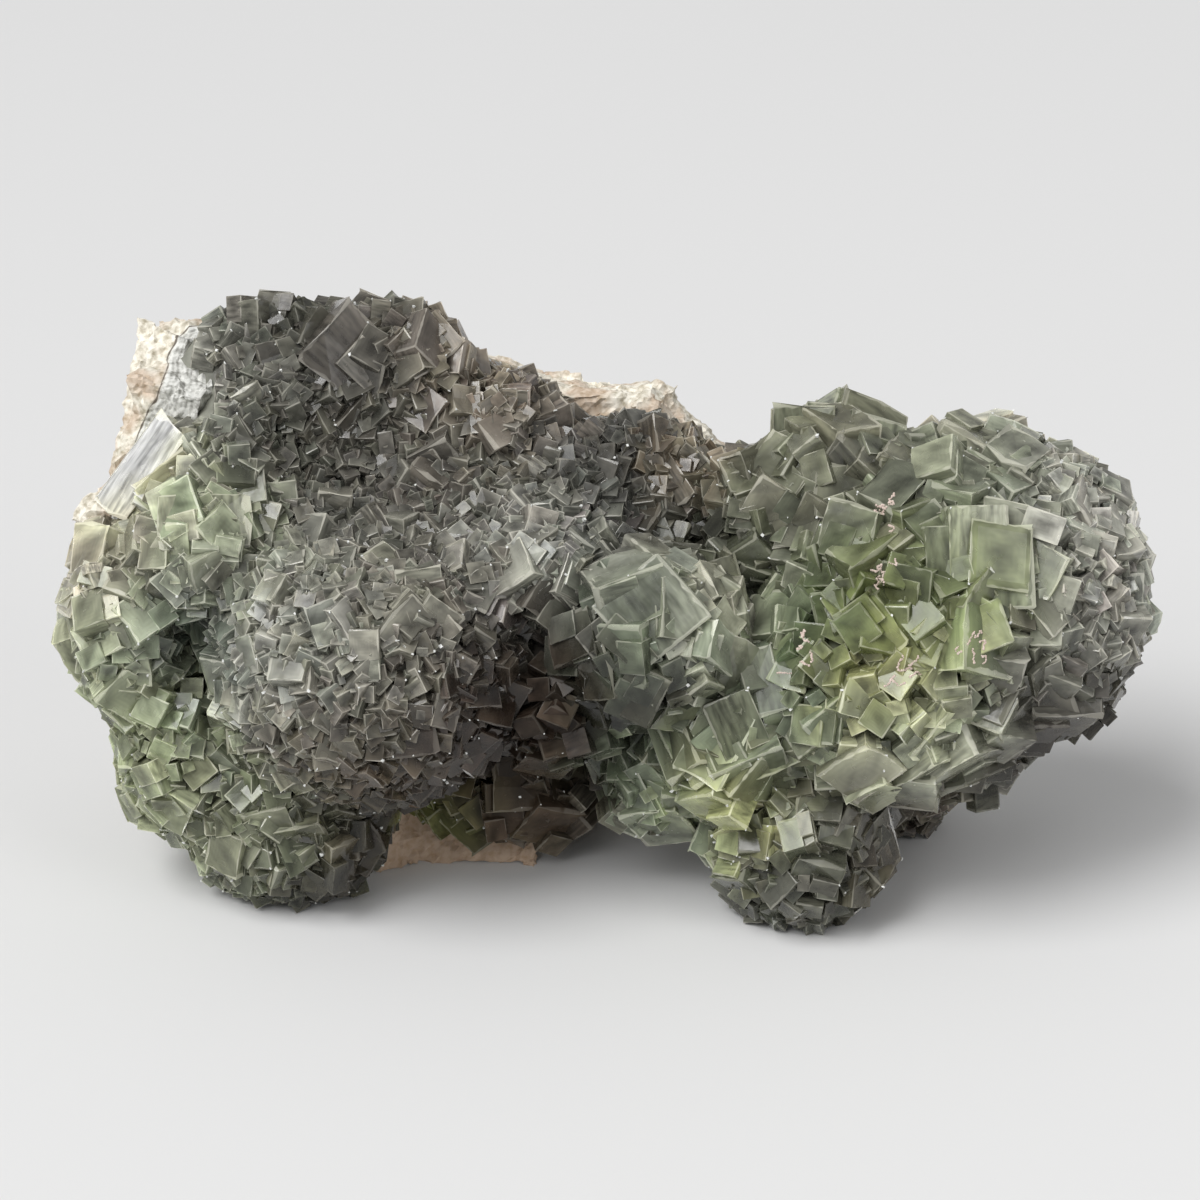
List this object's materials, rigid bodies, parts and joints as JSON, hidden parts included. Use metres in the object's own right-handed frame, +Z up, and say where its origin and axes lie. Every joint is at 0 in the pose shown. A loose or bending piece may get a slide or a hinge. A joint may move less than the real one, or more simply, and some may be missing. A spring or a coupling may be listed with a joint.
{
  "type": "fluorite specimen",
  "caption": "Hand-sized mineral specimen: a lumpy crust of intergrown green and grey fluorite cubes on a slab of pale host rock, resting on its own feet.",
  "frame": {"origin": "middle of the specimen's bounding box, on the surface it rests on", "axes": "+X along the specimen's length, towards the rounder lobe; -Y towards the front, where the crust faces; +Z up"},
  "size_m": [0.1892, 0.0875, 0.1038],
  "materials": {
    "host_rock": "matte",
    "fluorite": "satin"
  },
  "bodies": {
    "root": {"matrix_rock": "host_rock", "fluorite_crust": "fluorite"}
  },
  "joints": []
}
